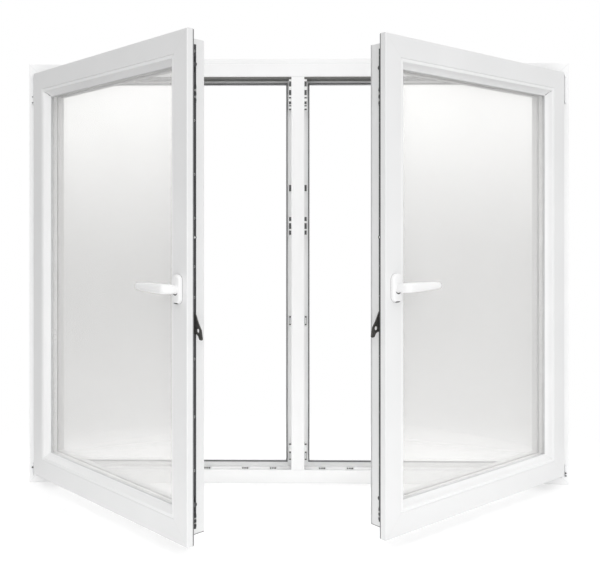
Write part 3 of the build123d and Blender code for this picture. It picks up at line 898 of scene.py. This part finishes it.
def hinge_details(side, sign):
    """The barrels' end caps and parting rings, the covers beside them and their set screws, dark
    with painted shade.
    """
    caps = bmesh.new()
    for heights, radius, thickness in HINGE_DISCS:
        for z in heights:
            place = mm(sign * HINGE_X, HINGE_Y, z)
            add_disc(caps, place, radius * MM, thickness * MM, "z", LARGE_RING)
    finish_mesh(f"{side}_hinge_caps", caps, "hinge")
    covers = bmesh.new()
    left_edge, right_edge = sorted(sign * x for x in HINGE_COVER_SIDES)
    middle = sign * sum(HINGE_COVER_SIDES) / 2
    for low, high in HINGE_COVERS:
        corners = mm(left_edge, HINGE_COVER_FRONT, low), mm(right_edge, HINGE_COVER_BACK, high)
        add_box(covers, *corners, HINGE_COVER_BEVEL * MM)
        for z in (low + BOSS_END, high - BOSS_END):
            add_disc(covers, mm(middle, BOSS_Y, z), *mm(*BOSS_SIZE), "y", LARGE_RING)
    finish_mesh(f"{side}_hinge_covers", covers, "hinge")
    screws = bmesh.new()
    for z, radius in HINGE_SCREWS[side]:
        place = mm(sign * HINGE_SCREW_X, HINGE_SCREW_Y, z)
        add_disc(screws, place, radius * MM, HINGE_SCREW_THICKNESS * MM, "y", SMALL_RING)
    finish_mesh(f"{side}_hinge_set_screws", screws, "hollow_shade")


# Keeps on the mullion and the sill, in the same measures

MULLION_FLANK = 21.5
SILL_TOP = 44
HEAD_UNDER = 1356
KEEP_FRONT = -32
KEEP_REACH = 8.5
# Low and high end of each dark recess of painted shade in the mullion's keeps
KEEP_RECESSES = (
    (1324, 1341), (1295, 1312), (1283.8, 1288.5), (1264.5, 1274), (1257.2, 1261.8), (1245, 1250),
    (974, 995), (874.5, 888), (848, 867.5), (828.5, 843), (127, 131.5),
)
# Margins of a recess beside the mullion and at the keep's edge, its depth and bevel
RECESS_MARGINS = (0.6, 0.5)
RECESS_DEPTH = 0.5
RECESS_BEVEL = 0.2
# Low and high end of the dark rims of painted shade, their margins, depth and widths below, above
# and beside
KEEP_RIMS = ((527, 557), (77, 105))
RIM_MARGINS = (1.4, 0.7)
RIM_DEPTH = 0.4
RIM_LOW = 4
RIM_HIGH = 5
RIM_SIDE = 1.4
KEEP_SCREWS = (1332, 1279, 1253, 984, 880, 858, 836, 548, 532, 124, 85)
KEEP_SCREW_X = MULLION_FLANK + 2.6
KEEP_SCREW_Y = KEEP_FRONT + 12
KEEP_SCREW_SIZE = (3.6, 0.8)
# Sill keeps: middles, then middle and half width of each recess of painted shade in them, and its
# heights
SILL_KEEPS = (302, 175, 82)
SILL_RECESSES = ((-8.5, 2.2), (-1.5, 2.6), (6.0, 3.0))
SILL_RECESS_HEIGHTS = (SILL_TOP + 3, SILL_TOP + 7.8)
SILL_SCREWS = (-8, 8)
SILL_SCREW_Z = SILL_TOP + 2.6
SILL_SCREW_SIZE = (3.2, 0.8)


def keep_box(shape, across, depth, heights, bevel=0.0):
    """A dark box of painted shade that stands off the front of the keeps by its depth."""
    low = mm(across[0], KEEP_FRONT - depth, heights[0])
    high = mm(across[1], KEEP_FRONT, heights[1])
    add_box(shape, low, high, bevel * MM)


def keep_sides(sign, margins):
    """Left and right edge of a mark on the mullion's keeps, inside its two margins."""
    near, far = MULLION_FLANK + margins[0], MULLION_FLANK + KEEP_REACH - margins[1]
    return sorted((sign * near, sign * far))


def mullion_keep_marks(side, sign):
    """Striker recesses in painted shade and bright screws on the mullion's keeps."""
    dark = bmesh.new()
    for heights in KEEP_RECESSES:
        across = keep_sides(sign, RECESS_MARGINS)
        keep_box(dark, across, RECESS_DEPTH, heights, RECESS_BEVEL)
    near, far = keep_sides(sign, RIM_MARGINS)
    for low, high in KEEP_RIMS:
        for heights in ((low, low + RIM_LOW), (high - RIM_HIGH, high)):
            keep_box(dark, (near, far), RIM_DEPTH, heights)
        for across in ((near, near + RIM_SIDE), (far - RIM_SIDE, far)):
            keep_box(dark, across, RIM_DEPTH, (low, high))
    finish_mesh(f"{side}_keep_recesses", dark, "keep_recess_shade")
    screws = bmesh.new()
    for z in KEEP_SCREWS:
        place = mm(sign * KEEP_SCREW_X, KEEP_SCREW_Y, z)
        add_disc(screws, place, *mm(*KEEP_SCREW_SIZE), "x", SMALL_RING)
    finish_mesh(f"{side}_keep_screws", screws, "screw")


def sill_keep_marks(side, sign):
    """Striker recesses in painted shade and screws on the sill's keeps."""
    dark = bmesh.new()
    screws = bmesh.new()
    for center in SILL_KEEPS:
        for offset, half in SILL_RECESSES:
            middle = sign * center + offset
            keep_box(dark, (middle - half, middle + half), RECESS_DEPTH, SILL_RECESS_HEIGHTS)
        for offset in SILL_SCREWS:
            place = mm(sign * center + offset, KEEP_SCREW_Y, SILL_SCREW_Z)
            add_disc(screws, place, *mm(*SILL_SCREW_SIZE), "z", SMALL_RING)
    finish_mesh(f"{side}_sill_keep_recesses", dark, "keep_recess_shade")
    finish_mesh(f"{side}_sill_keep_screws", screws, "screw")


# Fixed frame, in the same measures

FRAME_HALF_WIDTH = 900
FRAME_HIGH = 1400
FRAME_HALF_DEPTH = 35
# Weld lines: inset of their nearer ends, then of their farther ones on the room's side, 1, and
# outside, -1
FRAME_SEAM_NEAR = 2
FRAME_SEAMS = ((43.6, 1), (61.6, -1))
# Turns (x, z, out), with out from the window's middle plane into the room, into its axes
FACE_TO_WINDOW = Matrix(((1, 0, 0, 0), (0, 0, -1, 0), (0, 1, 0, 0), (0, 0, 0, 1)))
# Grey strips of painted shade on the sill's rebate: left and right ends, then Y and Z of the low
# and the high corner
SILL_SHADE_STRIPS = ((-855.5, -22), (22, 855.5))
SILL_SHADE_STRIP_LOW = (-33, 43.9)
SILL_SHADE_STRIP_HIGH = (-18, 44.15)
DRAIN_PLACES = (-660, -220, 220, 660)
# Drain caps, the slots under their hoods and the slots in the rebate, the slots dark with painted
# shade: half width, then Y and Z of the low and the high corner
DRAIN_CAP = (21, (34.6, 20), (38, 33))
DRAIN_CAP_BEVEL = 1.0
HOOD_SLOT = (14, (36.9, 21), (38.2, 23.5))
REBATE_SLOT = (13, (2, 42.3), (7, 42.7))
# Joint under the extension strip: where its two lines begin in Y, their thickness, half length,
# and low and high edge
STRIP_JOINT_STARTS = (-34.15, 34.0)
STRIP_JOINT_THICKNESS = 0.15
STRIP_JOINT_HALF = 679.5
STRIP_JOINT_HEIGHTS = (1399.4, 1400.6)


def frame_seams():
    """The frame's weld lines, on the room side and outside, and those at the mullion's ends."""
    shape = bmesh.new()
    for sign in (-1, 1):
        for z, turn in ((0, 1), (FRAME_HIGH, -1)):
            for end, side in FRAME_SEAMS:
                points = [
                    mm(sign * (FRAME_HALF_WIDTH - inset), z + turn * inset)
                    for inset in (FRAME_SEAM_NEAR, end)
                ]
                add_diagonal(shape, *points, side * FRAME_HALF_DEPTH * MM, side)
    for z in (SILL_TOP, HEAD_UNDER):
        ends = mm(-MULLION_FLANK, z), mm(MULLION_FLANK, z)
        add_diagonal(shape, *ends, FRAME_HALF_DEPTH * MM, 1)
    finish_mesh("frame_weld_seams", shape, "seam", "window", FACE_TO_WINDOW)


def sill_shade_strips():
    """Thin pale grey strips of painted shade on the front of the sill's rebate, one under each
    light.
    """
    shape = bmesh.new()
    for left_end, right_end in SILL_SHADE_STRIPS:
        add_box(shape, mm(left_end, *SILL_SHADE_STRIP_LOW), mm(right_end, *SILL_SHADE_STRIP_HIGH))
    finish_mesh("sill_rebate_painted_shade", shape, "glazing_seal")


def frame_drains():
    """The drains' hooded caps on the outside, and the slots of painted shade there and in the
    sill's rebate.
    """
    caps = bmesh.new()
    slots = bmesh.new()
    outer = (DRAIN_PLACES[0], DRAIN_PLACES[-1])
    for shape, places, (half, low, high), bevel in (
        (caps, DRAIN_PLACES, DRAIN_CAP, DRAIN_CAP_BEVEL * MM),
        (slots, DRAIN_PLACES, HOOD_SLOT, 0.0),
        (slots, outer, REBATE_SLOT, 0.0),
    ):
        for x in places:
            add_box(shape, mm(x - half, *low), mm(x + half, *high), bevel)
    finish_mesh("drain_caps", caps, "frame")
    finish_mesh("drain_slots", slots, "hollow_shade")


def head_line():
    """The thin joint line between the head and the extension strip above it."""
    shape = bmesh.new()
    low, high = STRIP_JOINT_HEIGHTS
    for front in STRIP_JOINT_STARTS:
        back = front + STRIP_JOINT_THICKNESS
        add_box(shape, mm(-STRIP_JOINT_HALF, front, low), mm(STRIP_JOINT_HALF, back, high))
    finish_mesh("extension_joint_line", shape, "seam")


# All pieces of a sash and of the frame


def sash_details(sash):
    """All pieces that belong to one sash."""
    handle_lever(sash)
    handle_rose(sash)
    rose_painted_shadows(sash)
    glazing_beads(sash)
    if sash.side == "right":
        back_seal_edge(sash)
    corner_shadow_lines(sash)
    sash_seams(sash)
    plate_screws(sash)
    corner_drives(sash)
    middle_cam(sash)
    latch_pivot(sash)
    spacer_holes(sash)


def frame_details():
    """All pieces that belong to the fixed frame."""
    frame_seams()
    sill_shade_strips()
    frame_drains()
    head_line()
    for side, sign in zip(SIDES, (-1, 1)):
        hinge_details(side, sign)
        mullion_keep_marks(side, sign)
        sill_keep_marks(side, sign)


# Studio

# Soft rectangles: name, place, target, size, power, and whether they show in gloss
AREA_LIGHTS = (
    ("key", (0.9, -4.6, 1.9), (0.0, -0.1, 0.7), (1.6, 1.2), 6, True),
    ("back", (0.4, 2.9, 2.7), (0.0, 0.0, 0.2), (2.6, 1.8), 70, False),
)
GAP_PLACE = (0.2, -4.0, 2.0)
GAP_TARGET = (0, 0, 0.4)
GAP_POWER = 40
GAP_CONE = 24
GAP_BLEND = 0.6
GAP_RADIUS = 0.5
# Soft light from all round: the same everywhere, and what each direction adds
SKY_BASE = 0.31
SKY_FRONT = 0.81
SKY_RIGHT = 0.17
SKY_ABOVE = 0.82
# What shows through the glass: strength, how it grows to the left, and grey by the direction's rise
BACKDROP_STRENGTH = 1.5
BACKDROP_LEFT = 0.2
BACKDROP_GREYS = ((-0.3, 0.64), (-0.1, 0.37), (0.03, 0.52), (0.17, 1.0))
WHITE = (1.0, 1.0, 1.0, 1.0)
FLOOR_PLACE = (0, -1.1, -0.0005)
FLOOR_RADIUS = 2.2
FLOOR_POINTS = 96
FLOOR_COLOR = (0.86, 0.86, 0.86)
FLOOR_ROUGHNESS = 0.8
FLOOR_GLOW = 0.22
# Radii between which the floor fades out
FLOOR_FADE = (0.9, FLOOR_RADIUS * 0.95)


def place_light(data, place, target, mirrored):
    """Aim a light at a point, unseen through glass and, unless mirrored, in gloss."""
    light = bpy.data.objects.new(data.name, data)
    light.visible_glossy = mirrored
    light.visible_transmission = False
    light.location = place
    light.rotation_euler = (Vector(target) - Vector(place)).to_track_quat("-Z", "Y").to_euler()
    bpy.context.scene.collection.objects.link(light)


def add_area_lights():
    """A weak key light from the front and a strong one from behind and above."""
    for name, place, target, size, power, mirrored in AREA_LIGHTS:
        data = bpy.data.lights.new(name, "AREA")
        data.shape = "RECTANGLE"
        data.size, data.size_y = size
        data.energy = power
        place_light(data, place, target, mirrored)


def add_gap_light():
    """A narrow light from the front that reaches the mullion and the sill between the sashes."""
    data = bpy.data.lights.new("gap", "SPOT")
    data.energy = GAP_POWER
    data.spot_size = math.radians(GAP_CONE)
    data.spot_blend = GAP_BLEND
    data.shadow_soft_size = GAP_RADIUS
    place_light(data, GAP_PLACE, GAP_TARGET, False)


def world_math(tree, operation, first, second):
    """One sum of the world's shader; a number or a socket on each side."""
    node = tree.nodes.new("ShaderNodeMath")
    node.operation = operation
    for index, value in enumerate((first, second)):
        if isinstance(value, (int, float)):
            node.inputs[index].default_value = value
        else:
            tree.links.new(value, node.inputs[index])
    return node.outputs["Value"]


def sky_strength(tree, axes):
    """Brightness by direction: more from the room, from above and from the right."""
    front = world_math(tree, "MULTIPLY", world_math(tree, "MINIMUM", axes["Y"], 0.0), -SKY_FRONT)
    above = world_math(tree, "MULTIPLY", world_math(tree, "MAXIMUM", axes["Z"], 0.0), SKY_ABOVE)
    right = world_math(tree, "MULTIPLY", axes["X"], SKY_RIGHT)
    total = world_math(tree, "ADD", world_math(tree, "ADD", front, above), right)
    return world_math(tree, "ADD", total, SKY_BASE)


def backdrop_color(tree, axes):
    """Grey of the surround behind the panes, by the height of the direction."""
    low, high = BACKDROP_GREYS[0][0], BACKDROP_GREYS[-1][0]
    place = tree.nodes.new("ShaderNodeMapRange")
    place.inputs["From Min"].default_value = low
    place.inputs["From Max"].default_value = high
    tree.links.new(axes["Z"], place.inputs["Value"])
    ramp = tree.nodes.new("ShaderNodeValToRGB")
    ramp.color_ramp.interpolation = "B_SPLINE"
    stops = ramp.color_ramp.elements
    while len(stops) < len(BACKDROP_GREYS):
        stops.new(0.5)
    for stop, (height, grey) in zip(stops, BACKDROP_GREYS):
        stop.position = (height - low) / (high - low)
        stop.color = (grey, grey, grey, 1.0)
    tree.links.new(place.outputs["Result"], ramp.inputs["Fac"])
    return ramp.outputs["Color"]


def world_background(tree, strength=None, color=None):
    """A white background shader with an optional strength or colour from a socket."""
    node = tree.nodes.new("ShaderNodeBackground")
    node.inputs["Color"].default_value = WHITE
    if strength is not None:
        tree.links.new(strength, node.inputs["Strength"])
    if color is not None:
        tree.links.new(color, node.inputs["Color"])
    return node.outputs["Background"]


def add_world():
    """A white surround, soft light from all round and a grey backdrop behind the panes."""
    world = bpy.data.worlds.new("studio")
    world.use_nodes = True
    bpy.context.scene.world = world
    tree = world.node_tree
    coordinates = tree.nodes.new("ShaderNodeTexCoord")
    axes_node = tree.nodes.new("ShaderNodeSeparateXYZ")
    tree.links.new(coordinates.outputs["Generated"], axes_node.inputs[0])
    axes = axes_node.outputs
    rays = tree.nodes.new("ShaderNodeLightPath").outputs
    light = world_background(tree, strength=sky_strength(tree, axes))
    slope = world_math(tree, "MULTIPLY", axes["X"], -BACKDROP_LEFT * BACKDROP_STRENGTH)
    strength = world_math(tree, "ADD", slope, BACKDROP_STRENGTH)
    behind = world_background(tree, strength, backdrop_color(tree, axes))
    white = world_background(tree)
    shader = mix_shaders(tree, rays["Is Transmission Ray"], light, behind)
    shader = mix_shaders(tree, rays["Is Camera Ray"], shader, white)
    tree.links.new(shader, tree.nodes["World Output"].inputs["Surface"])


def add_floor():
    """A pale round floor that fades out into the white surround."""
    bpy.ops.mesh.primitive_circle_add(
        vertices=FLOOR_POINTS, radius=FLOOR_RADIUS, fill_type="NGON", location=FLOOR_PLACE,
    )
    floor = bpy.context.object
    floor.name = "floor"
    material, tree, shader = new_material("pale_floor", FLOOR_COLOR, FLOOR_ROUGHNESS)
    shader.inputs["Emission Color"].default_value = WHITE
    shader.inputs["Emission Strength"].default_value = FLOOR_GLOW
    coordinates = tree.nodes.new("ShaderNodeTexCoord")
    length = tree.nodes.new("ShaderNodeVectorMath")
    length.operation = "LENGTH"
    fade = tree.nodes.new("ShaderNodeMapRange")
    fade.interpolation_type = "SMOOTHSTEP"
    fade.inputs["From Min"].default_value = FLOOR_FADE[0]
    fade.inputs["From Max"].default_value = FLOOR_FADE[1]
    fade.inputs["To Min"].default_value = 1.0
    fade.inputs["To Max"].default_value = 0.0
    tree.links.new(coordinates.outputs["Object"], length.inputs[0])
    tree.links.new(length.outputs["Value"], fade.inputs["Value"])
    tree.links.new(fade.outputs["Result"], shader.inputs["Alpha"])
    floor.data.materials.append(material)


add_camera()
add_world()
add_floor()
add_area_lights()
add_gap_light()
bpy.context.scene.view_settings.view_transform = "Standard"
dress_nodes()
frame_details()
for sash in [Sash(side) for side in SIDES]:
    sash_details(sash)
